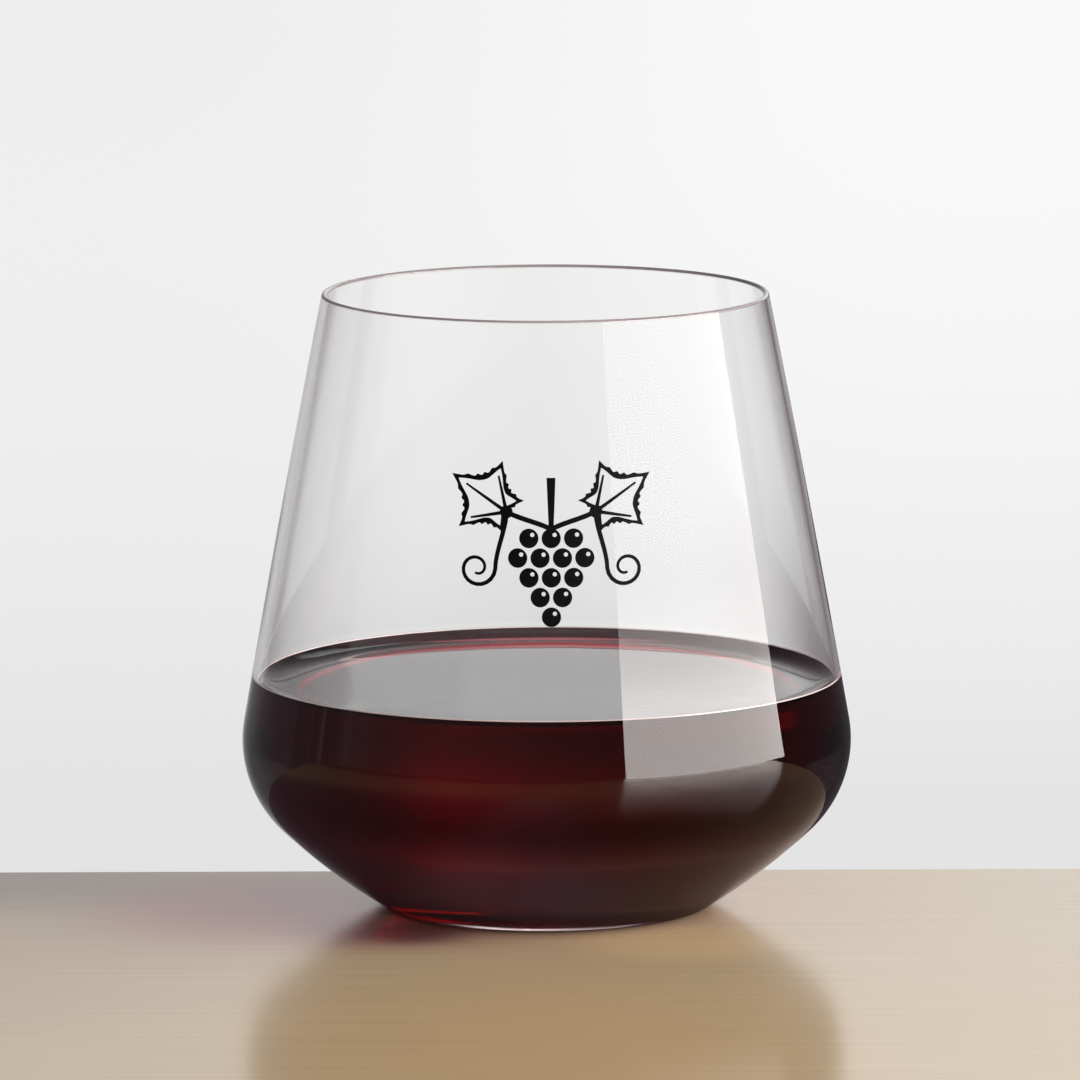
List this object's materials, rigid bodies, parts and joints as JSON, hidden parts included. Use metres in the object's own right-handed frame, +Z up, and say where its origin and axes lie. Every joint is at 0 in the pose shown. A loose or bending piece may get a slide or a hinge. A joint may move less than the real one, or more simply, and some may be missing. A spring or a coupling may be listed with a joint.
{
  "type": "stemless wine glass",
  "caption": "Stemless wine glass: thin conical wall, round belly and thick flat foot, holding a pour of red wine, with a small black vine sprig printed on the front.",
  "frame": {"origin": "centre of the foot, on the plane that the glass rests on", "axes": "+Z up along the glass's axis of revolution; -Y towards the viewer, the side with the print; +X to the viewer's right"},
  "size_m": [0.1006, 0.1006, 0.102],
  "materials": {
    "clear_glass": "polished",
    "red_wine": "gloss",
    "black_ink": "satin"
  },
  "bodies": {
    "root": {"glass_bowl": "clear_glass", "wine": "red_wine", "printed_sprig": "black_ink"}
  },
  "joints": []
}
